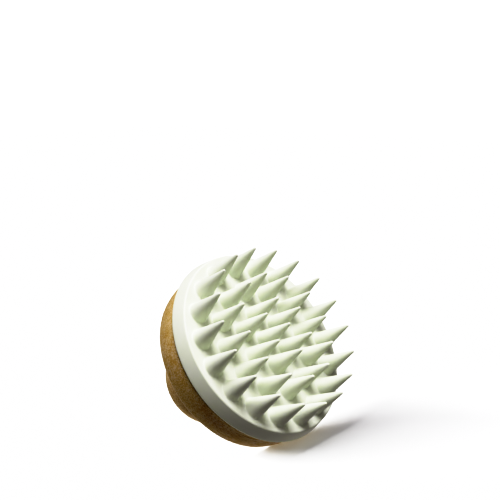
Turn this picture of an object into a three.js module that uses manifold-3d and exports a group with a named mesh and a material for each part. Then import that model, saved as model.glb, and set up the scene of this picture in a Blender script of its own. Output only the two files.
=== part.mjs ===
// A round scalp massager brush: a silicone bristle pad on a turned wooden handle.
// Millimetres, +Z up. The handle's axis is Z, the origin is the middle of the flat
// on the knob's crown, and the bristles point up.

import * as THREE from "three";
import { mergeVertices } from "three/addons/utils/BufferGeometryUtils.js";
import Module from "manifold-3d";

const wasm = await Module();
wasm.setup();

// Driving dimensions
const faceHeight = 53.5; // the pad's front face, above the knob's flat
const clearance = 0.3; // between pieces that touch
const overrun = 1; // how far a cutter passes the surface that it opens

const pad = {
  frontRadius: 40,
  backRadius: 41.2,
  depth: 7,
  lipRadius: 0.8,
  backChamfer: 0.5,
  faceThickness: 2.4,
  flangeThickness: 1.6,
  flangeBore: 33.4,
  cavityRadius: 37.3,
};

const bristle = {
  length: 16.2,
  rootRadius: 4.3,
  tipRadius: 0.65,
  filletRadius: 0.6,
  sunk: 0.8, // how far the root reaches into the face
  leanPerRing: 1.5, // degrees outwards, ring by ring
  ringPitch: 11.5, // between rings, at the tips
  ringCounts: [1, 6, 12, 18],
};

const base = {
  gapToPad: 0.8,
  frontRadius: 39,
  bulgeRadius: 39.4,
  rearRadius: 38.4,
  rearEdge: 0.35,
  rearDepth: 20, // the rear edge, behind the pad's front face
  neckDrop: 2.1, // the back face falls this much towards the neck
  frontChamfer: 0.6,
};

const knob = {
  shoulderRadius: 15.5,
  neckRadius: 12.4,
  neckHeight: 26.2,
  bellyRadius: 19.8,
  bellyHeight: 12.6,
  crownRise: 14, // half-height of the crown's ellipse
  flatRadius: 9,
  tenonRadius: 8,
  tenonLength: 7,
};

const coreScrew = { headRadius: 3.4, shankRadius: 1.75, length: 13, circleRadius: 24, count: 4 };
const knobScrew = { headRadius: 4.7, shankRadius: 2.5, length: 32 };
const headRim = 0.25; // the straight edge round a screw's head

// Shares of a screw's shank radius, and of its head's radius and depth
const thread = { rootRadius: 0.7, pitch: 0.8 };
const recess = { length: 1.1, width: 0.22, depth: 0.55 };

// Heights that follow from them
const padBack = faceHeight - pad.depth;
const cavityTop = faceHeight - pad.faceThickness;
const cavityBottom = padBack + pad.flangeThickness;
const baseFront = padBack - base.gapToPad;
const baseRear = faceHeight - base.rearDepth;
const shoulder = baseRear - base.neckDrop - clearance;
const tenonTop = shoulder + knob.tenonLength;
const coreFront = cavityTop - clearance;
const coreStep = cavityBottom + clearance;
const coreBack = baseFront + clearance;

// Fineness of the round faces
const wideSides = 72;
const knobSides = 40;
const boreSides = 16;
const bristleSides = 12;
const screwSides = 12;
const arcSteps = 3;
const bristleArcSteps = 2;
const curveSteps = 6;

const silicone = { color: 0xe3ead8, roughness: 0.55, metalness: 0 };
const turnedWood = { color: 0x8a6430, roughness: 0.6, metalness: 0 };
const mouldedPlastic = { color: 0xd9d8d0, roughness: 0.5, metalness: 0 };
const zincSteel = { color: 0xb9bcc0, roughness: 0.3, metalness: 1 };

// A solid of revolution about Z from an outline of (radius, height) points that runs
// up its outside, from the axis at the bottom to the axis at the top.
function turned(outline, sides) {
  return new THREE.LatheGeometry(outline, sides).rotateX(Math.PI / 2);
}

const at = (radius, height) => new THREE.Vector2(radius, height);

// Points on an ellipse's arc; angles in degrees, counterclockwise from +radius.
function arc(centre, radiusX, radiusY, from, to, steps = arcSteps) {
  return Array.from({ length: steps + 1 }, (_, i) => {
    const angle = THREE.MathUtils.degToRad(from + ((to - from) * i) / steps);
    return at(centre.x + radiusX * Math.cos(angle), centre.y + radiusY * Math.sin(angle));
  });
}

function toManifold(geometry) {
  const plain = geometry.clone();
  plain.deleteAttribute("normal");
  plain.deleteAttribute("uv");
  const merged = mergeVertices(plain, 1e-4);
  return new wasm.Manifold(
    new wasm.Mesh({
      numProp: 3,
      vertProperties: new Float32Array(merged.attributes.position.array),
      triVerts: new Uint32Array(merged.index.array),
    }),
  );
}

function toGeometry(solid) {
  const made = solid.getMesh();
  return new THREE.BufferGeometry()
    .setAttribute("position", new THREE.BufferAttribute(made.vertProperties, 3))
    .setIndex(new THREE.BufferAttribute(made.triVerts, 1))
    .toNonIndexed();
}

// The first geometry with the others joined on, or cut away.
const joined = (first, others) =>
  toGeometry(others.reduce((whole, other) => whole.add(toManifold(other)), toManifold(first)));
const cut = (first, others) =>
  toGeometry(others.reduce((whole, other) => whole.subtract(toManifold(other)), toManifold(first)));

// Places spaced evenly round the Z axis.
function aroundAxis(count, radius) {
  return Array.from({ length: count }, (_, i) => {
    const angle = (2 * Math.PI * i) / count;
    return { angle, x: radius * Math.cos(angle), y: radius * Math.sin(angle) };
  });
}

// One bristle standing on the face: a fillet round its foot, a straight flank and a round tip.
function bristleGeometry() {
  const { length, rootRadius, tipRadius, filletRadius, sunk } = bristle;
  const shaft = length - tipRadius;
  const slant = Math.atan2(rootRadius, shaft) - Math.asin(tipRadius / Math.hypot(rootRadius, shaft));
  const footRadius = rootRadius + (filletRadius * (1 - Math.sin(slant))) / Math.cos(slant);
  const flank = THREE.MathUtils.radToDeg(slant);
  const fillet = arc(
    at(footRadius, filletRadius), filletRadius, filletRadius, 270, 180 + flank, bristleArcSteps,
  );
  const tip = arc(at(0, shaft), tipRadius, tipRadius, flank, 90, bristleArcSteps);
  tip[bristleArcSteps] = at(0, length);
  return turned([at(0, -sunk), at(footRadius, -sunk), ...fillet, ...tip], bristleSides);
}

// Every bristle in its place: rings whose tips keep one pitch while each ring leans out.
// A bristle leans by a shear, so that its foot stays level on the face.
function placedBristles() {
  const { length, leanPerRing, ringPitch, ringCounts } = bristle;
  return ringCounts.flatMap((count, ring) => {
    const lean = Math.sin(THREE.MathUtils.degToRad(leanPerRing * ring));
    const shear = new THREE.Matrix4().makeShear(0, 0, 0, 0, lean, 0);
    return aroundAxis(count, ring * ringPitch - length * lean).map(({ angle, x, y }) =>
      bristleGeometry().applyMatrix4(shear).rotateZ(angle).translate(x, y, faceHeight),
    );
  });
}

// The pad: a face with bristles, a side wall, and a flange that turns in behind the core.
function padGeometry() {
  const { frontRadius, backRadius, lipRadius, backChamfer, flangeBore, cavityRadius } = pad;
  const shell = [
    at(0, cavityTop),
    at(cavityRadius, cavityTop),
    at(cavityRadius, cavityBottom),
    at(flangeBore, cavityBottom),
    at(flangeBore, padBack),
    at(backRadius - backChamfer, padBack),
    at(backRadius, padBack + backChamfer),
    ...arc(at(frontRadius - lipRadius, faceHeight - lipRadius), lipRadius, lipRadius, 0, 90),
    at(0, faceHeight),
  ];
  return joined(turned(shell, wideSides), placedBristles());
}

// A countersunk hole from a surface at height top: a straight mouth, a cone and a bore.
function screwHole(top, bottom, { headRadius, shankRadius }) {
  const bore = shankRadius + clearance;
  const mouth = headRadius + clearance;
  const coneTop = top - clearance - headRim;
  return turned(
    [
      at(0, bottom),
      at(bore, bottom),
      at(bore, coneTop - (mouth - bore)),
      at(mouth, coneTop),
      at(mouth, top + overrun),
      at(0, top + overrun),
    ],
    boreSides,
  );
}

// A straight hole from a surface at height top.
function pilotHole(top, bottom, { shankRadius }) {
  const bore = shankRadius + clearance;
  return turned(
    [at(0, bottom), at(bore, bottom), at(bore, top + overrun), at(0, top + overrun)],
    boreSides,
  );
}

function coreGeometry() {
  const { cavityRadius, flangeBore } = pad;
  const bossRadius = flangeBore - clearance;
  const discRadius = cavityRadius - clearance;
  const disc = turned(
    [
      at(0, coreBack),
      at(bossRadius, coreBack),
      at(bossRadius, coreStep),
      at(discRadius, coreStep),
      at(discRadius, coreFront),
      at(0, coreFront),
    ],
    wideSides,
  );
  const hole = screwHole(coreFront, coreBack - overrun, coreScrew);
  const places = aroundAxis(coreScrew.count, coreScrew.circleRadius);
  return cut(disc, places.map(({ x, y }) => hole.clone().translate(x, y, 0)));
}

// The turned base: a bulged rim, a sharp rear edge, and a back face that falls to the neck.
function baseGeometry() {
  const { frontRadius, bulgeRadius, rearRadius, rearEdge, neckDrop, frontChamfer } = base;
  const socketRadius = knob.tenonRadius + clearance;
  const socketTop = tenonTop + clearance;
  const backOfNeck = baseRear - neckDrop;
  const rim = new THREE.QuadraticBezierCurve(
    at(rearRadius, baseRear + rearEdge),
    at(2 * bulgeRadius - (rearRadius + frontRadius) / 2, (baseRear + baseFront) / 2),
    at(frontRadius, baseFront - frontChamfer),
  );
  const body = turned(
    [
      at(0, socketTop),
      at(socketRadius, socketTop),
      at(socketRadius, backOfNeck),
      at(knob.shoulderRadius, backOfNeck),
      at(rearRadius - rearEdge, baseRear),
      ...rim.getPoints(curveSteps),
      at(frontRadius - frontChamfer, baseFront),
      at(0, baseFront),
    ],
    wideSides,
  );
  const { length, count, circleRadius } = coreScrew;
  const pilot = pilotHole(baseFront, coreFront - length - 2 * clearance, coreScrew);
  const pilots = aroundAxis(count, circleRadius).map(({ x, y }) => pilot.clone().translate(x, y, 0));
  const through = screwHole(baseFront, socketTop - overrun, knobScrew);
  return cut(body, [...pilots, through]);
}

// The turned knob: a flat on the crown, a full belly, a waist for the fingers and a tenon.
function knobGeometry() {
  const { shoulderRadius, neckRadius, neckHeight, bellyRadius, bellyHeight, crownRise } = knob;
  const { flatRadius, tenonRadius } = knob;
  const flatAngle = THREE.MathUtils.radToDeg(Math.acos(flatRadius / bellyRadius));
  const crown = arc(at(0, bellyHeight), bellyRadius, crownRise, -flatAngle, 0, curveSteps);
  crown[0].y = 0;
  const waist = new THREE.CubicBezierCurve(
    at(bellyRadius, bellyHeight),
    at(bellyRadius, bellyHeight + 0.5 * (neckHeight - bellyHeight)),
    at(neckRadius, neckHeight - 0.5 * (neckHeight - bellyHeight)),
    at(neckRadius, neckHeight),
  );
  const flare = arc(
    at(shoulderRadius, neckHeight), shoulderRadius - neckRadius, shoulder - neckHeight, 180, 90,
  );
  const body = turned(
    [
      at(0, 0),
      ...crown,
      ...waist.getPoints(curveSteps).slice(1),
      ...flare.slice(1),
      at(tenonRadius, shoulder),
      at(tenonRadius, tenonTop),
      at(0, tenonTop),
    ],
    knobSides,
  );
  const pilotBottom = baseFront - knobScrew.length - 2 * clearance;
  return cut(body, [pilotHole(tenonTop, pilotBottom, knobScrew)]);
}

// A countersunk wood screw, its head's top at height 0: point, thread, head and cross recess.
function screwGeometry({ headRadius, shankRadius, length }) {
  const rootRadius = thread.rootRadius * shankRadius;
  const threadPitch = thread.pitch * shankRadius;
  const headDepth = headRadius - rootRadius + headRim;
  const pointLength = 2 * shankRadius;
  const turns = Math.floor((length - headDepth - pointLength) / (2 * threadPitch));
  const outline = [at(0, -length), at(rootRadius, pointLength - length)];
  for (let turn = 0; turn < turns; turn++) {
    const height = pointLength - length + threadPitch * (turn + 0.5);
    outline.push(at(shankRadius, height), at(rootRadius, height + 0.5 * threadPitch));
  }
  outline.push(at(rootRadius, -headDepth), at(headRadius, -headRim), at(headRadius, 0), at(0, 0));
  const slot = new THREE.BoxGeometry(
    recess.length * headRadius,
    recess.width * headRadius,
    2 * recess.depth * headDepth,
  );
  return cut(turned(outline, screwSides), [slot, slot.clone().rotateZ(Math.PI / 2)]);
}

function piece(name, geometry, look) {
  const mesh = new THREE.Mesh(geometry, new THREE.MeshStandardMaterial({ ...look, flatShading: true }));
  mesh.name = name;
  return mesh;
}

const brush = new THREE.Group();

brush.add(piece("bristle_pad", padGeometry(), silicone));
brush.add(piece("core_disc", coreGeometry(), mouldedPlastic));
brush.add(piece("handle_base", baseGeometry(), turnedWood));
brush.add(piece("handle_knob", knobGeometry(), turnedWood));

const centreScrew = piece("knob_screw", screwGeometry(knobScrew), zincSteel);
centreScrew.position.z = baseFront - clearance;
brush.add(centreScrew);

aroundAxis(coreScrew.count, coreScrew.circleRadius).forEach(({ x, y }, i) => {
  const screw = piece(`core_screw_${i + 1}`, screwGeometry(coreScrew), zincSteel);
  screw.position.set(x, y, coreFront - clearance);
  brush.add(screw);
});

export default brush;
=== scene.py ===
"""The looks of a round scalp massager brush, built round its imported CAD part.

A silicone pad with 37 bristles fits over a plastic core on a turned wooden handle.
Metres, +Z up: the handle's axis is Z, the flat on the knob's crown is at the origin,
and the bristles point up. The brush lies tipped over on a table, on its base's rear
edge and its knob's belly, so in the part's own frame the table is a tilted plane.
"""

import math

import bmesh
import bpy
from mathutils import Matrix, Vector
from mathutils.geometry import delaunay_2d_cdt


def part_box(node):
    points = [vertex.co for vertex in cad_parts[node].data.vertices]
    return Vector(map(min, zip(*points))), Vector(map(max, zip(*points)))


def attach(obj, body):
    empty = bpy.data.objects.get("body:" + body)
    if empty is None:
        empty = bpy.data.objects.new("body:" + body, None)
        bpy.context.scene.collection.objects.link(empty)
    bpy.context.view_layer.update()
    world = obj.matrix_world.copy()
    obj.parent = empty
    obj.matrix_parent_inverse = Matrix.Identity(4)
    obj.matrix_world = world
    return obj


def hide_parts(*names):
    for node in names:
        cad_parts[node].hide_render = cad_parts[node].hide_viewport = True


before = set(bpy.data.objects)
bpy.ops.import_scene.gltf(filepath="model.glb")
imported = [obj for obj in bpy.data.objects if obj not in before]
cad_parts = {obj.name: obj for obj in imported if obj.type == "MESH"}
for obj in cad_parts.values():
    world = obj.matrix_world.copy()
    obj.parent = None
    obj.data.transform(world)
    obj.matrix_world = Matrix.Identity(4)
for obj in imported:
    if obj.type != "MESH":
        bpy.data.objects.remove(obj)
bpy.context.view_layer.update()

MM = 0.001

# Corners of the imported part's own pieces
PAD_LOW, PAD_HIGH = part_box("bristle_pad")
BASE_LOW, BASE_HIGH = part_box("handle_base")
_, KNOB_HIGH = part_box("handle_knob")
KNOB_SCREW_LOW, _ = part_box("knob_screw")
CORE_SCREW_LOW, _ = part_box("core_screw_1")

# Between pieces that touch
CLEARANCE = 0.3 * MM

# Bristles: a root, a tip and a fillet are given by their radius, and the rings of bristles
# keep their pitch at the tips, while each ring leans outwards a little more than the last
BRISTLE_LENGTH = 16.2 * MM
BRISTLE_ROOT = 4.3 * MM
BRISTLE_TIP = 0.65 * MM
BRISTLE_FILLET = 0.6 * MM
BRISTLE_RINGS = (1, 6, 12, 18)
RING_PITCH = 11.5 * MM
LEAN_PER_RING = math.radians(1.5)
FOOT_MARGIN = 0.12 * MM

# Pad: a lip round its face, a hem round its back, and a flange that grips the core's back
FACE_HEIGHT = PAD_HIGH.z - BRISTLE_LENGTH
PAD_BACK = PAD_LOW.z
PAD_FRONT_RADIUS = 40.0 * MM
PAD_BACK_RADIUS = 41.2 * MM
LIP_RADIUS = 0.8 * MM
HEM_RADIUS = 0.9 * MM
FACE_THICKNESS = 2.4 * MM
FLANGE_THICKNESS = 1.6 * MM
FLANGE_BORE = 33.4 * MM
CAVITY_RADIUS = 37.3 * MM

# Base: its back face falls from the rear edge, whose rounding starts at this many degrees,
# to the neck of the knob
BASE_FRONT = BASE_HIGH.z
BASE_FRONT_RADIUS = 39.0 * MM
BASE_BULGE_RADIUS = 39.4 * MM
BASE_REAR_RADIUS = 38.4 * MM
BASE_NECK_DROP = 2.1 * MM
BASE_REAR = BASE_LOW.z + BASE_NECK_DROP
BASE_REAR_EDGE = 0.35 * MM
BASE_REAR_EDGE_START = -85
BASE_FRONT_EDGE = 0.6 * MM
PILOT_RADIUS = 2.05 * MM
PILOT_CIRCLE = 24.0 * MM
PILOT_COUNT = 4
PILOT_BOTTOM = CORE_SCREW_LOW.z - CLEARANCE

# Knob: a flat on its crown, a belly, a neck and a shoulder, and a tenon in the base's socket
KNOB_SHOULDER_RADIUS = 15.5 * MM
KNOB_NECK_RADIUS = 12.4 * MM
KNOB_NECK_HEIGHT = 26.2 * MM
KNOB_BELLY_RADIUS = 19.8 * MM
KNOB_BELLY_HEIGHT = 12.6 * MM
KNOB_CROWN_RISE = 14.0 * MM
KNOB_FLAT_RADIUS = 9.0 * MM
TENON_RADIUS = 8.0 * MM
TENON_TOP = KNOB_HIGH.z
KNOB_SHOULDER = BASE_LOW.z - CLEARANCE
KNOB_PILOT_RADIUS = 2.8 * MM
KNOB_PILOT_BOTTOM = KNOB_SCREW_LOW.z - CLEARANCE
SCREW_HEAD_MOUTH = 5.0 * MM
SCREW_HEAD_RIM = 0.55 * MM

# Most of a noise's values lie between these two
NOISE_LOW = 0.3
NOISE_HIGH = 0.7

# Silicone: its cloudy tints, and the fine grain of its skin, with slightly darker flecks
SILICONE_CLOUD = 6 * MM
SILICONE_TINTS = [(NOISE_LOW, (0.73, 0.79, 0.61)), (NOISE_HIGH, (0.76, 0.81, 0.655))]
SILICONE_GRAIN = 0.35 * MM
SILICONE_RELIEF = 0.02 * MM
SILICONE_ROUGHNESS = (0.44, 0.60)
SILICONE_FLECK = (0.63, 0.69, 0.545)
SILICONE_FLECK_SHARE = 0.06
SILICONE_FLECK_RANGE = (0.35, 0.65)

# Wood: the sizes of its fibres, rings and pores along X, Y and Z, what the first two add to
# its tone, and the tones at which it is dark, middling and light. Its pores fade out over
# their range, and their brightness is a share of the dark colour's.
FIBRE = (14 * MM, 0.46 * MM, 0.46 * MM)
FIBRE_SHARE = 0.8
RINGS = (40 * MM, 3.2 * MM, 2.0 * MM)
RINGS_SHARE = 0.25
WOOD_TONES = (0.43, 0.53, 0.62)
PORES = (1.1 * MM, 0.37 * MM, 0.37 * MM)
PORE_SHARE = 0.35
PORE_RANGE = (0.34, 0.43)
PORE_BRIGHTNESS = 0.35
WOOD_RELIEF = 0.10 * MM
WOOD_RELIEF_SHARE = 0.6
WOOD_ROUGHNESS = (0.62, 0.42)
WOOD_ROUGHNESS_RANGE = (0.35, 0.75)
BASE_WOOD = ((0.43, 0.28, 0.06), (0.565, 0.42, 0.155), (0.62, 0.50, 0.30))
# The knob's wood is paler than the base's: partly a different blank, partly painted light on the
# knob's dim side
KNOB_WOOD_PAINTED_PALER = ((0.52, 0.35, 0.11), (0.68, 0.52, 0.235), (0.78, 0.64, 0.37))

# Paler wood along the base's rear edge, partly wear and partly a painted highlight, and
# painted shade on the wood under the pad's hem, where the gap's shadow falls
WEAR_AND_HIGHLIGHT_CORE = 0.3 * MM
WEAR_AND_HIGHLIGHT_REACH = 0.65 * MM
WORN_AND_HIGHLIT_WOOD = (0.91, 0.79, 0.54)
PAINTED_SHADE_CORE = 0.9 * MM
PAINTED_SHADE_REACH = 1.8 * MM
PAINTED_SHADE_SHARE = 0.7
PAINTED_SHADE_COLOUR = (0.06, 0.035, 0.012)

# Plastic of the core, with a fine texture from its mould
PLASTIC_CLOUD = 9 * MM
PLASTIC_TINTS = [(NOISE_LOW, (0.66, 0.65, 0.60)), (NOISE_HIGH, (0.72, 0.71, 0.66))]
PLASTIC_GRAIN = 0.25 * MM
PLASTIC_RELIEF = 0.015 * MM
PLASTIC_ROUGHNESS = (0.42, 0.6)
PLASTIC_FLECK = (0.5, 0.49, 0.45)
PLASTIC_FLECK_SHARE = 0.08

# Steel of the screws, with drawn lines along them
STEEL_LINES = (0.12 * MM, 0.12 * MM, 2 * MM)
STEEL_RELIEF = 0.01 * MM
STEEL_ROUGHNESS = (0.24, 0.42)
STEEL_PATCHES = 1.5 * MM
STEEL_TINTS = [(NOISE_LOW, (0.50, 0.51, 0.53)), (NOISE_HIGH, (0.66, 0.67, 0.69))]

# Fineness of the meshes: sides round an axis, and steps along each stretch of an outline
BRISTLE_SIDES = 40
WIDE_SIDES = 192
KNOB_SIDES = 144
HOLE_SIDES = 32
FILLET_STEPS = 7
FLANK_STEPS = 5
TIP_STEPS = 6
HEM_STEPS = 6
LIP_STEPS = 10
REAR_EDGE_STEPS = 6
BULGE_STEPS = 16
FRONT_EDGE_STEPS = 5
CROWN_STEPS = 20
WAIST_STEPS = 24
FLARE_STEPS = 10
SHARP_ANGLE = math.radians(38)

# How a flat face is cut into triangles: Blender's choice of those inside the outer loop, and
# how near, in millimetres, two points are one
TRIANGLES_INSIDE = 1
SAME_POINT = 1e-5

# The table: which way is up from it, and how far the origin stands above it
TABLE_TILT_HEADING = math.radians(-54.97)
TABLE_TILT = math.radians(36.82)
TABLE_DEPTH = 10.385 * MM
TABLE_HALF = 1.5

# Camera: where it looks from, about the table's up, and its lens and sensor in millimetres
CAMERA_HEADING = math.radians(130.51)
CAMERA_PITCH = math.radians(11.48)
CAMERA_DISTANCE = 379.4 * MM
CAMERA_AIM = Vector((12.98, -36.48, 60.40)) * MM
CAMERA_LENS = 64.58
SENSOR = 36.0
NEAREST_SEEN = 10 * MM
FARTHEST_SEEN = 20.0

# Key light
KEY_HEADING = math.radians(120)
KEY_PITCH = math.radians(77)
KEY_POWER = 5.0
KEY_SPREAD = math.radians(40)
KEY_COLOUR = (1.0, 0.97, 1.06)

# The soft light from all round: a sky that is brightest at the key, the pale table's glow on
# the brush's underside, and the least that comes from anywhere. An edge is the cosine of the
# angle at which a glow begins. The camera sees the white backdrop instead.
SKY = 0.65
SKY_EDGE = 0.3
SKY_FLOOR = 0.02
GLOW_HEADING = math.radians(165)
GLOW_PITCH = math.radians(-60)
GLOW = 0.28
GLOW_EDGE = 0.0
FILL_COLOUR = (1.08, 0.96, 1.01, 1.0)
BACKDROP = 2.4

# Two weak lights that the table throws back from behind the brush, leaning from its axis:
# one on its right-hand side, and one on its rear edges
BOUNCE_AZIMUTH = math.radians(172)
BOUNCE_LEAN = math.radians(40)
BOUNCE_POWER = 2.0
BOUNCE_SPREAD = math.radians(30)
BOUNCE_COLOUR = (1.03, 0.93, 1.04)
RIM_AZIMUTH = math.radians(235)
RIM_LEAN = math.radians(2)
RIM_POWER = 2.2
RIM_SPREAD = math.radians(10)
RIM_COLOUR = (1.0, 0.97, 0.94)

# The camera's response: scene brightness and how bright the picture shows it. Blender keeps
# the curve for all channels together after the three for red, green and blue.
COMBINED_CURVE = 3
TONE_CURVE = (
    (0.0, 0.0),
    (0.05, 0.008),
    (0.12, 0.045),
    (0.22, 0.115),
    (0.5, 0.4),
    (0.9, 0.8),
    (1.4, 0.96),
    (2.2, 1.0),
)

# The light on the table: a wide low sun, and a weak fill from straight above
TABLE_SUN_HEADING = math.radians(48)
TABLE_SUN_PITCH = math.radians(25)
TABLE_SUN_POWER = 15.0
TABLE_SUN_SPREAD = math.radians(38)
TABLE_SUN_COLOUR = (1.0, 1.0, 1.0)
TABLE_FILL_POWER = 0.35
TABLE_FILL_SPREAD = 0.0
TABLE_FILL_COLOUR = (0.80, 1.04, 1.10)


# Outlines: lists of (radius, height) points

def arc(centre, radius, start, stop, steps, radius_z=None):
    """Points on a circle's or an ellipse's arc; angles in degrees from +radius."""
    radius_z = radius if radius_z is None else radius_z
    angles = [math.radians(start + (stop - start) * i / steps) for i in range(steps + 1)]
    return [(centre[0] + radius * math.cos(a), centre[1] + radius_z * math.sin(a)) for a in angles]


def bezier(points, steps):
    """Points on the Bezier curve with these two ends and its controls between them."""
    made = []
    for i in range(steps + 1):
        t = i / steps
        level = [Vector(p) for p in points]
        while len(level) > 1:
            level = [a.lerp(b, t) for a, b in zip(level, level[1:])]
        made.append(tuple(level[0]))
    return made


def tangent_angle(first, first_radius, second, second_radius):
    """The direction, in degrees, in which two circles touch their common outer tangent."""
    across, up = second[0] - first[0], second[1] - first[1]
    reach = math.hypot(across, up)
    return math.degrees(math.atan2(up, across) + math.acos((first_radius - second_radius) / reach))


# Meshes

class Skin:
    """A closed surface in the making: points, and the faces that join them."""

    def __init__(self):
        self.points = []
        self.faces = []

    def point(self, x, y, z):
        self.points.append((x, y, z))
        return len(self.points) - 1

    def ring(self, radius, height, sides, centre=(0.0, 0.0)):
        """A level circle of points, or one point where the radius is nothing."""
        if radius == 0:
            return [self.point(*centre, height)]
        turns = [2 * math.pi * i / sides for i in range(sides)]
        return [
            self.point(centre[0] + radius * math.cos(t), centre[1] + radius * math.sin(t), height)
            for t in turns
        ]

    def band(self, lower, upper):
        """Faces between two rings that are one above the other, or between a ring and a point."""
        count = max(len(lower), len(upper))
        for i in range(count):
            j = (i + 1) % count
            corners = (lower[i % len(lower)], lower[j % len(lower)],
                       upper[j % len(upper)], upper[i % len(upper)])
            self.faces.append(tuple(dict.fromkeys(corners)))

    def turn(self, outline, sides, centre=(0.0, 0.0), first=None):
        """Turns an outline about a vertical line, on from a first ring if there is one.

        It returns the last ring.
        """
        rings = [self.ring(radius, height, sides, centre) for radius, height in outline]
        if first:
            rings.insert(0, first)
        for lower, upper in zip(rings, rings[1:]):
            self.band(lower, upper)
        return rings[-1]

    def plate(self, outer, holes):
        """A flat face inside a ring, with these rings as its holes.

        The triangles to leave out are those whose corners all lie on one hole.
        """
        loops = [outer, *holes]
        members = [index for loop in loops for index in loop]
        loop_of = [number for number, loop in enumerate(loops) for _ in loop]
        edges, start = [], 0
        for loop in loops:
            edges += [(start + i, start + (i + 1) % len(loop)) for i in range(len(loop))]
            start += len(loop)
        flat = [Vector(self.points[index][:2]) / MM for index in members]
        _, _, triangles, origins, *_ = delaunay_2d_cdt(
            flat, edges, [], TRIANGLES_INSIDE, SAME_POINT)
        for triangle in triangles:
            corners = [origins[corner][0] for corner in triangle]
            homes = {loop_of[corner] for corner in corners}
            if len(homes) > 1 or homes == {0}:
                self.faces.append(tuple(members[corner] for corner in corners))


def mesh_object(name, skin, material):
    """An object in the part's frame from a closed skin, its faces turned outwards."""
    mesh = bpy.data.meshes.new(name)
    mesh.from_pydata(skin.points, [], skin.faces)
    shell = bmesh.new()
    shell.from_mesh(mesh)
    bmesh.ops.recalc_face_normals(shell, faces=shell.faces)
    shell.to_mesh(mesh)
    shell.free()
    mesh.shade_smooth()
    mesh.set_sharp_from_angle(angle=SHARP_ANGLE)
    mesh.materials.append(material)
    made = bpy.data.objects.new(name, mesh)
    bpy.context.scene.collection.objects.link(made)
    return made


def place_piece(piece, node):
    """The piece rides with the part and stands for its CAD node, which it hides."""
    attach(piece, "root")
    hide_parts(node)


# The bristle pad

def bristle_outline():
    """A bristle above the face: a fillet at its foot, a straight flank and a round tip."""
    shaft = BRISTLE_LENGTH - BRISTLE_TIP
    touching = math.asin(BRISTLE_TIP / math.hypot(BRISTLE_ROOT, shaft))
    slant = math.atan2(BRISTLE_ROOT, shaft) - touching
    foot = BRISTLE_ROOT + BRISTLE_FILLET * (1 - math.sin(slant)) / math.cos(slant)
    flank = math.degrees(slant)
    fillet = arc((foot, BRISTLE_FILLET), BRISTLE_FILLET, 270, 180 + flank, FILLET_STEPS)
    tip = arc((0, shaft), BRISTLE_TIP, flank, 90, TIP_STEPS)
    tip[-1] = (0, BRISTLE_LENGTH)
    (low_radius, low), (high_radius, high) = fillet[-1], tip[0]
    straight = [
        (low_radius + (high_radius - low_radius) * i / FLANK_STEPS,
         low + (high - low) * i / FLANK_STEPS)
        for i in range(1, FLANK_STEPS)
    ]
    return fillet + straight + tip


def bristle_places():
    """For each bristle, the direction that it leans in and the place of its foot's centre."""
    places = []
    for ring, count in enumerate(BRISTLE_RINGS):
        lean = math.sin(LEAN_PER_RING * ring)
        for i in range(count):
            turn = 2 * math.pi * i / count
            outwards = Vector((math.cos(turn), math.sin(turn)))
            places.append((outwards * lean, outwards * (ring * RING_PITCH - BRISTLE_LENGTH * lean)))
    return places


def add_bristle(skin, outline, lean, foot):
    """Builds one bristle up from the face and returns the ring round its foot."""
    margin = skin.ring(outline[0][0] + FOOT_MARGIN, FACE_HEIGHT, BRISTLE_SIDES, foot)
    lower = margin
    for radius, height in outline:
        upper = skin.ring(radius, FACE_HEIGHT + height, BRISTLE_SIDES, foot + lean * height)
        skin.band(lower, upper)
        lower = upper
    return margin


def make_pad(material):
    """The face with its bristles, the lip, the side wall, the flange and the core's cavity."""
    skin = Skin()
    outline = bristle_outline()
    feet = [add_bristle(skin, outline, lean, foot) for lean, foot in bristle_places()]
    lip = (PAD_FRONT_RADIUS - LIP_RADIUS, FACE_HEIGHT - LIP_RADIUS)
    hem = (PAD_BACK_RADIUS - HEM_RADIUS, PAD_BACK + HEM_RADIUS)
    wall = tangent_angle(lip, LIP_RADIUS, hem, HEM_RADIUS)
    cavity_top = FACE_HEIGHT - FACE_THICKNESS
    cavity_bottom = PAD_BACK + FLANGE_THICKNESS
    profile = [
        (0, cavity_top),
        (CAVITY_RADIUS, cavity_top),
        (CAVITY_RADIUS, cavity_bottom),
        (FLANGE_BORE, cavity_bottom),
        (FLANGE_BORE, PAD_BACK),
        *arc(hem, HEM_RADIUS, -90, wall, HEM_STEPS),
        *arc(lip, LIP_RADIUS, wall, 90, LIP_STEPS),
    ]
    brim = skin.turn(profile, WIDE_SIDES)
    skin.plate(brim, feet)
    pad = mesh_object("silicone_bristle_pad", skin, material)
    place_piece(pad, "bristle_pad")


# The wooden handle

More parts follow.
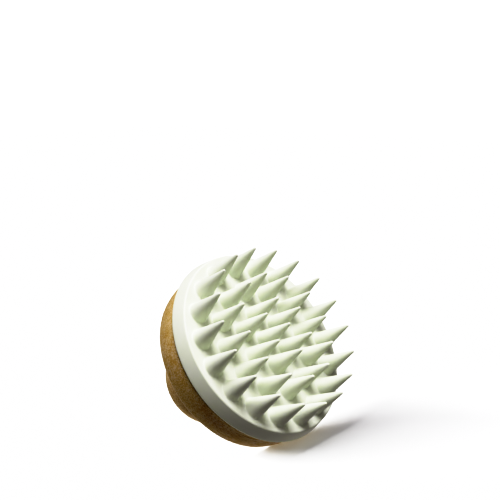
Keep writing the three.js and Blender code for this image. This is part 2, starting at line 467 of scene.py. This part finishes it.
def make_base(material):
    """The turned base: a bulged rim with rounded edges, a socket and the screws' holes.

    The rim is a curve whose middle control point brings it out to the bulge's radius, and
    the knob's screw has a 90 degree countersink.
    """
    skin = Skin()
    rear = (BASE_REAR_RADIUS - BASE_REAR_EDGE, BASE_REAR + BASE_REAR_EDGE)
    swell = 2 * BASE_BULGE_RADIUS - (BASE_REAR_RADIUS + BASE_FRONT_RADIUS) / 2
    front = (BASE_FRONT_RADIUS - BASE_FRONT_EDGE, BASE_FRONT - BASE_FRONT_EDGE)
    rim = [
        (BASE_REAR_RADIUS, rear[1]),
        (swell, (BASE_REAR + BASE_FRONT) / 2),
        (BASE_FRONT_RADIUS, front[1]),
    ]
    socket = TENON_RADIUS + CLEARANCE
    bore = KNOB_PILOT_RADIUS
    cone_top = BASE_FRONT - SCREW_HEAD_RIM
    profile = [
        (SCREW_HEAD_MOUTH, cone_top),
        (bore, cone_top - (SCREW_HEAD_MOUTH - bore)),
        (bore, TENON_TOP + CLEARANCE),
        (socket, TENON_TOP + CLEARANCE),
        (socket, BASE_LOW.z),
        (KNOB_SHOULDER_RADIUS, BASE_LOW.z),
        *arc(rear, BASE_REAR_EDGE, BASE_REAR_EDGE_START, 0, REAR_EDGE_STEPS),
        *bezier(rim, BULGE_STEPS)[1:-1],
        *arc(front, BASE_FRONT_EDGE, 0, 90, FRONT_EDGE_STEPS),
    ]
    mouth = skin.ring(SCREW_HEAD_MOUTH, BASE_FRONT, WIDE_SIDES)
    brim = skin.turn(profile, WIDE_SIDES, first=mouth)
    pilots = []
    for i in range(PILOT_COUNT):
        turn = 2 * math.pi * i / PILOT_COUNT
        centre = (PILOT_CIRCLE * math.cos(turn), PILOT_CIRCLE * math.sin(turn))
        hole = [(0, PILOT_BOTTOM), (PILOT_RADIUS, PILOT_BOTTOM), (PILOT_RADIUS, BASE_FRONT)]
        pilots.append(skin.turn(hole, HOLE_SIDES, centre))
    skin.plate(brim, [mouth, *pilots])
    base = mesh_object("wooden_base", skin, material)
    place_piece(base, "handle_base")
    return base


def make_knob(material):
    """The turned knob: a flat on its crown, a full belly, a waist, a flared shoulder, a tenon."""
    flat_angle = -math.degrees(math.acos(KNOB_FLAT_RADIUS / KNOB_BELLY_RADIUS))
    belly = (0, KNOB_BELLY_HEIGHT)
    crown = arc(belly, KNOB_BELLY_RADIUS, flat_angle, 0, CROWN_STEPS, KNOB_CROWN_RISE)
    crown[0] = (KNOB_FLAT_RADIUS, 0)
    half = (KNOB_NECK_HEIGHT - KNOB_BELLY_HEIGHT) / 2
    waist = bezier(
        [
            (KNOB_BELLY_RADIUS, KNOB_BELLY_HEIGHT),
            (KNOB_BELLY_RADIUS, KNOB_BELLY_HEIGHT + half),
            (KNOB_NECK_RADIUS, KNOB_NECK_HEIGHT - half),
            (KNOB_NECK_RADIUS, KNOB_NECK_HEIGHT),
        ],
        WAIST_STEPS,
    )
    flare = arc(
        (KNOB_SHOULDER_RADIUS, KNOB_NECK_HEIGHT), KNOB_SHOULDER_RADIUS - KNOB_NECK_RADIUS,
        180, 90, FLARE_STEPS, KNOB_SHOULDER - KNOB_NECK_HEIGHT,
    )
    profile = [
        (0, 0),
        *crown,
        *waist[1:],
        *flare[1:],
        (TENON_RADIUS, KNOB_SHOULDER),
        (TENON_RADIUS, TENON_TOP),
        (KNOB_PILOT_RADIUS, TENON_TOP),
        (KNOB_PILOT_RADIUS, KNOB_PILOT_BOTTOM),
        (0, KNOB_PILOT_BOTTOM),
    ]
    skin = Skin()
    skin.turn(profile, KNOB_SIDES)
    knob = mesh_object("wooden_knob", skin, material)
    place_piece(knob, "handle_knob")


# Materials

# The Mix node's sockets for colours
MIX_FACTOR, MIX_A, MIX_B, MIX_RESULT = 0, 6, 7, 2


class Nodes:
    """A material's node tree, written one node at a time."""

    def __init__(self, name):
        self.material = bpy.data.materials.new(name)
        self.material.use_nodes = True
        self.tree = self.material.node_tree
        self.surface = self.tree.nodes["Principled BSDF"]
        self.place = self.add("ShaderNodeTexCoord").outputs["Object"]

    def add(self, kind, inputs=None, **settings):
        """A node with these settings; an input is a value, or a socket to link."""
        node = self.tree.nodes.new(kind)
        for key, value in settings.items():
            setattr(node, key, value)
        for key, value in (inputs or {}).items():
            self.set(node.inputs[key], value)
        return node

    def set(self, socket, value):
        if isinstance(value, bpy.types.NodeSocket):
            self.tree.links.new(value, socket)
        else:
            socket.default_value = value

    def shade(self, **inputs):
        """Sets the surface's sockets; an underscore in a name stands for a space."""
        for key, value in inputs.items():
            self.set(self.surface.inputs[key.replace("_", " ")], value)
        return self.material

    def maths(self, operation, first, second=0.0, third=0.0):
        inputs = {0: first, 1: second, 2: third}
        return self.add("ShaderNodeMath", inputs, operation=operation).outputs[0]

    def stretched(self, along, across, up):
        """The place in units of these lengths."""
        scale = (1 / along, 1 / across, 1 / up)
        return self.add("ShaderNodeMapping", {"Vector": self.place, "Scale": scale}).outputs[0]

    def noise(self, size, detail=3.0, roughness=0.5, distortion=0.0):
        """Noise whose grain has this size: one length, or three along X, Y and Z."""
        sizes = size if isinstance(size, tuple) else (size, size, size)
        inputs = {
            "Vector": self.stretched(*sizes), "Scale": 1.0, "Detail": detail,
            "Roughness": roughness, "Distortion": distortion,
        }
        return self.add("ShaderNodeTexNoise", inputs).outputs["Fac"]

    def between(self, value, low, high, from_low=0.0, from_high=1.0, smooth=False):
        """The value's range, from_low to from_high, carried over to the one from low to high."""
        kind = "SMOOTHSTEP" if smooth else "LINEAR"
        inputs = {
            "Value": value, "From Min": from_low, "From Max": from_high,
            "To Min": low, "To Max": high,
        }
        return self.add("ShaderNodeMapRange", inputs, interpolation_type=kind).outputs[0]

    def ramp(self, value, stops):
        """Colours from (position, (r, g, b)) stops."""
        node = self.add("ShaderNodeValToRGB", {"Fac": value})
        elements = node.color_ramp.elements
        while len(elements) < len(stops):
            elements.new(0.5)
        for element, (position, colour) in zip(elements, stops):
            element.position = position
            element.color = (*colour, 1.0)
        return node.outputs["Color"]

    def mix(self, share, first, second):
        """The first colour with this share of the second."""
        node = self.add("ShaderNodeMix", data_type="RGBA")
        for index, value in ((MIX_FACTOR, share), (MIX_A, first), (MIX_B, second)):
            if isinstance(value, tuple):
                value = (*value, 1.0)
            self.set(node.inputs[index], value)
        return node.outputs[MIX_RESULT]

    def from_circle(self, radius, height):
        """How far each place is from a level circle round the handle's axis."""
        flat = {0: self.place, 1: (1, 1, 0)}
        level = self.add("ShaderNodeVectorMath", flat, operation="MULTIPLY").outputs[0]
        reach = self.add("ShaderNodeVectorMath", {0: level}, operation="LENGTH").outputs["Value"]
        rise = self.add("ShaderNodeSeparateXYZ", {0: self.place}).outputs["Z"]
        across = self.maths("SUBTRACT", reach, radius)
        up = self.maths("SUBTRACT", rise, height)
        square = self.maths("MULTIPLY_ADD", across, across, self.maths("MULTIPLY", up, up))
        return self.maths("SQRT", square)

    def bump(self, height, depth):
        """The normal of a surface whose relief has this height and depth."""
        inputs = {"Height": height, "Distance": depth, "Strength": 1.0}
        return self.add("ShaderNodeBump", inputs).outputs["Normal"]


def silicone():
    """Pale mint silicone: satin, a little translucent, with a moulded skin."""
    nodes = Nodes("mint_silicone")
    cloud = nodes.noise(SILICONE_CLOUD, detail=2.0)
    grain = nodes.noise(SILICONE_GRAIN, detail=4.0, roughness=0.6)
    colour = nodes.ramp(cloud, SILICONE_TINTS)
    flecked = nodes.between(grain, 0.0, SILICONE_FLECK_SHARE, *SILICONE_FLECK_RANGE)
    colour = nodes.mix(flecked, colour, SILICONE_FLECK)
    normal = nodes.bump(grain, SILICONE_RELIEF)
    return nodes.shade(
        Base_Color=colour,
        Roughness=nodes.between(grain, *SILICONE_ROUGHNESS, NOISE_LOW, NOISE_HIGH),
        Specular_IOR_Level=0.4,
        Subsurface_Weight=0.2,
        Subsurface_Radius=(1.0, 1.1, 0.7),
        Subsurface_Scale=1.2 * MM,
        Normal=normal,
    )


def turned_wood(name, colours):
    """Oiled wood with its fibres along X: streaks on two sides and end grain on the others.

    Its colours go from dark to light. It is paler along the base's rear edge, partly from wear
    and partly as a painted highlight, and has painted shade along the base's front edge, which
    the pad's hem overhangs.
    """
    nodes = Nodes(name)
    fibre = nodes.noise(FIBRE, detail=2.0, roughness=0.6)
    rings = nodes.noise(RINGS, detail=2.0, distortion=0.6)
    speckle = nodes.noise(PORES, detail=1.0, roughness=0.5)
    fibrous = nodes.maths("MULTIPLY", fibre, FIBRE_SHARE)
    tone = nodes.maths("MULTIPLY_ADD", rings, RINGS_SHARE, fibrous)
    colour = nodes.ramp(tone, list(zip(WOOD_TONES, colours)))
    pores = nodes.between(speckle, PORE_SHARE, 0.0, *PORE_RANGE, smooth=True)
    colour = nodes.mix(pores, colour, tuple(PORE_BRIGHTNESS * c for c in colours[0]))
    # Paler wood along the base's rear edge: partly wear, partly a painted highlight of the edge
    rear_edge = nodes.from_circle(BASE_REAR_RADIUS, BASE_REAR)
    rubbed_and_highlit = nodes.between(rear_edge, 1.0, 0.0, WEAR_AND_HIGHLIGHT_CORE, WEAR_AND_HIGHLIGHT_REACH, smooth=True)
    colour = nodes.mix(rubbed_and_highlit, colour, WORN_AND_HIGHLIT_WOOD)
    # Painted shade: darker wood just under the pad's hem, where the gap's shadow falls
    under_hem = nodes.from_circle(BASE_FRONT_RADIUS, BASE_FRONT)
    painted_shade_mask = nodes.between(under_hem, PAINTED_SHADE_SHARE, 0.0, PAINTED_SHADE_CORE, PAINTED_SHADE_REACH, smooth=True)
    colour = nodes.mix(painted_shade_mask, colour, PAINTED_SHADE_COLOUR)
    ridges = nodes.maths("MULTIPLY", fibre, WOOD_RELIEF_SHARE)
    relief = nodes.maths("MULTIPLY_ADD", speckle, WOOD_RELIEF_SHARE, ridges)
    normal = nodes.bump(relief, WOOD_RELIEF)
    return nodes.shade(
        Base_Color=colour,
        Roughness=nodes.between(relief, *WOOD_ROUGHNESS, *WOOD_ROUGHNESS_RANGE),
        Specular_IOR_Level=0.42,
        Normal=normal,
    )


def moulded_plastic():
    """Off-white moulded plastic with a fine spark-eroded texture."""
    nodes = Nodes("moulded_plastic")
    cloud = nodes.noise(PLASTIC_CLOUD, detail=2.0)
    grain = nodes.noise(PLASTIC_GRAIN, detail=3.0, roughness=0.6)
    colour = nodes.ramp(cloud, PLASTIC_TINTS)
    return nodes.shade(
        Base_Color=nodes.mix(nodes.between(grain, 0.0, PLASTIC_FLECK_SHARE), colour, PLASTIC_FLECK),
        Roughness=nodes.between(grain, *PLASTIC_ROUGHNESS, NOISE_LOW, NOISE_HIGH),
        Normal=nodes.bump(grain, PLASTIC_RELIEF),
    )


def zinc_steel():
    """Zinc-plated steel with fine drawn lines and dull patches."""
    nodes = Nodes("zinc_steel")
    lines = nodes.noise(STEEL_LINES, detail=3.0)
    patches = nodes.noise(STEEL_PATCHES, detail=3.0)
    return nodes.shade(
        Base_Color=nodes.ramp(patches, STEEL_TINTS),
        Metallic=1.0,
        Roughness=nodes.between(lines, *STEEL_ROUGHNESS, NOISE_LOW, NOISE_HIGH),
        Normal=nodes.bump(lines, STEEL_RELIEF),
    )


def table_surface():
    """A plain pale table top, seen from above only."""
    nodes = Nodes("pale_table")
    nodes.shade(Base_Color=(0.90, 0.90, 0.90, 1.0), Roughness=0.9, Specular_IOR_Level=0.2)
    back = nodes.add("ShaderNodeNewGeometry").outputs["Backfacing"]
    clear = nodes.add("ShaderNodeBsdfTransparent").outputs[0]
    front = nodes.surface.outputs[0]
    mixed = nodes.add("ShaderNodeMixShader", {0: back, 1: front, 2: clear}).outputs[0]
    nodes.set(nodes.tree.nodes["Material Output"].inputs["Surface"], mixed)
    return nodes.material


# The studio

def table_frame():
    """The table's up, the level direction that the brush tips towards, and the one across it."""
    heading = Vector((math.cos(TABLE_TILT_HEADING), math.sin(TABLE_TILT_HEADING), 0))
    up = heading * math.cos(TABLE_TILT) + Vector((0, 0, math.sin(TABLE_TILT)))
    ahead = (heading - up * heading.dot(up)).normalized()
    return up, ahead, up.cross(ahead)


def direction(heading, pitch):
    """A direction that points pitch above the table, heading round its up."""
    up, ahead, across = table_frame()
    level = ahead * math.cos(heading) + across * math.sin(heading)
    return level * math.cos(pitch) + up * math.sin(pitch)


def from_behind(azimuth, lean):
    """A direction that leans from the one straight behind the brush, towards this azimuth."""
    level = Vector((math.cos(azimuth), math.sin(azimuth), 0))
    return level * math.sin(lean) - Vector((0, 0, math.cos(lean)))


def make_camera():
    """The camera of the photograph."""
    back = direction(CAMERA_HEADING, CAMERA_PITCH)
    right = table_frame()[0].cross(back).normalized()
    turn = Matrix((right, back.cross(right), back)).transposed()
    data = bpy.data.cameras.new("camera")
    data.lens = CAMERA_LENS
    data.sensor_width = SENSOR
    data.clip_start = NEAREST_SEEN
    data.clip_end = FARTHEST_SEEN
    camera = bpy.data.objects.new("camera", data)
    camera.matrix_world = Matrix.Translation(CAMERA_AIM + back * CAMERA_DISTANCE) @ turn.to_4x4()
    bpy.context.scene.collection.objects.link(camera)
    bpy.context.scene.camera = camera


def make_table():
    """A square of table under the brush, which throws no light on it and isn't mirrored in it."""
    up, ahead, across = table_frame()
    skin = Skin()
    for along, over in ((1, 1), (-1, 1), (-1, -1), (1, -1)):
        skin.point(*(ahead * along * TABLE_HALF + across * over * TABLE_HALF - up * TABLE_DEPTH))
    skin.faces.append((0, 1, 2, 3))
    table = mesh_object("table", skin, table_surface())
    if table.data.polygons[0].normal.dot(up) < 0:
        table.data.flip_normals()
    table.visible_diffuse = False
    table.visible_glossy = False
    return table


def make_sun(name, towards, strength, spread, colour):
    """A distant light that lies in this direction and looks this wide."""
    data = bpy.data.lights.new(name, "SUN")
    data.energy = strength
    data.angle = spread
    data.color = colour
    light = bpy.data.objects.new(name, data)
    light.rotation_mode = "QUATERNION"
    light.rotation_quaternion = towards.to_track_quat("Z", "Y")
    bpy.context.scene.collection.objects.link(light)
    return light


def linked_to(light, what, members, state):
    """A collection of these objects, which the light includes or excludes."""
    linked = bpy.data.collections.new(light.name + "_" + what)
    for member in members:
        linked.objects.link(member)
    for entry in linked.collection_objects:
        entry.light_linking.link_state = state
    return linked


def limit_light(light, state, receivers, blockers=()):
    """The light reaches these objects only, or all but these, and the same for its blockers."""
    light.light_linking.receiver_collection = linked_to(light, "receivers", receivers, state)
    if blockers:
        light.light_linking.blocker_collection = linked_to(light, "blockers", blockers, state)


def make_world():
    """White to the camera; to the object, a soft sky round the key and the table's glow."""
    world = bpy.data.worlds.new("studio")
    world.use_nodes = True
    bpy.context.scene.world = world
    tree = world.node_tree
    tree.nodes.clear()
    seen = tree.nodes.new("ShaderNodeBackground")
    seen.inputs["Strength"].default_value = BACKDROP
    lit = tree.nodes.new("ShaderNodeBackground")
    lit.inputs["Color"].default_value = FILL_COLOUR
    place = tree.nodes.new("ShaderNodeTexCoord")
    least = tree.nodes.new("ShaderNodeValue")
    least.outputs[0].default_value = SKY_FLOOR
    total = least.outputs[0]
    for towards, start, strength in (
        (direction(KEY_HEADING, KEY_PITCH), SKY_EDGE, SKY),
        (direction(GLOW_HEADING, GLOW_PITCH), GLOW_EDGE, GLOW),
    ):
        nearness = tree.nodes.new("ShaderNodeVectorMath")
        nearness.operation = "DOT_PRODUCT"
        nearness.inputs[1].default_value = towards
        tree.links.new(place.outputs["Generated"], nearness.inputs[0])
        lobe = tree.nodes.new("ShaderNodeMapRange")
        lobe.inputs["From Min"].default_value = start
        lobe.inputs["To Max"].default_value = strength
        tree.links.new(nearness.outputs["Value"], lobe.inputs["Value"])
        joined = tree.nodes.new("ShaderNodeMath")
        tree.links.new(total, joined.inputs[0])
        tree.links.new(lobe.outputs[0], joined.inputs[1])
        total = joined.outputs[0]
    tree.links.new(total, lit.inputs["Strength"])
    ray = tree.nodes.new("ShaderNodeLightPath")
    both = tree.nodes.new("ShaderNodeMixShader")
    out = tree.nodes.new("ShaderNodeOutputWorld")
    tree.links.new(ray.outputs["Is Camera Ray"], both.inputs[0])
    tree.links.new(lit.outputs[0], both.inputs[1])
    tree.links.new(seen.outputs[0], both.inputs[2])
    tree.links.new(both.outputs[0], out.inputs["Surface"])


def grade():
    """Gives the picture a camera's response: deeper shade and softer highlights."""
    view = bpy.context.scene.view_settings
    view.view_transform = "Standard"
    view.use_curve_mapping = True
    mapping = view.curve_mapping
    mapping.clip_max_x = TONE_CURVE[-1][0]
    curve = mapping.curves[COMBINED_CURVE]
    curve.points[-1].location = TONE_CURVE[-1]
    for seen, shown in TONE_CURVE[1:-1]:
        curve.points.new(seen, shown)
    mapping.update()


make_camera()
make_pad(silicone())
base = make_base(turned_wood("base_wood", BASE_WOOD))
make_knob(turned_wood("knob_wood", KNOB_WOOD_PAINTED_PALER))

# The CAD nodes that no piece stands for: the core and the screws
plastic = moulded_plastic()
steel = zinc_steel()
for name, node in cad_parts.items():
    if node.hide_render:
        continue
    finish = steel if "screw" in name else plastic
    node.data.materials.clear()
    node.data.materials.append(finish)

table = make_table()
key = make_sun(
    "key", direction(KEY_HEADING, KEY_PITCH), KEY_POWER, KEY_SPREAD, KEY_COLOUR)
limit_light(key, "EXCLUDE", [table])
bounce = make_sun(
    "bounce", from_behind(BOUNCE_AZIMUTH, BOUNCE_LEAN), BOUNCE_POWER, BOUNCE_SPREAD, BOUNCE_COLOUR)
rim = make_sun("rim", from_behind(RIM_AZIMUTH, RIM_LEAN), RIM_POWER, RIM_SPREAD, RIM_COLOUR)
for light in (bounce, rim):
    light.visible_glossy = False
    limit_light(light, "EXCLUDE", [table], [table])
table_sun = make_sun(
    "table_sun", direction(TABLE_SUN_HEADING, TABLE_SUN_PITCH),
    TABLE_SUN_POWER, TABLE_SUN_SPREAD, TABLE_SUN_COLOUR)
limit_light(table_sun, "INCLUDE", [table], [base])
table_fill = make_sun(
    "table_fill", table_frame()[0], TABLE_FILL_POWER, TABLE_FILL_SPREAD, TABLE_FILL_COLOUR)
limit_light(table_fill, "INCLUDE", [table], [table])
make_world()
grade()
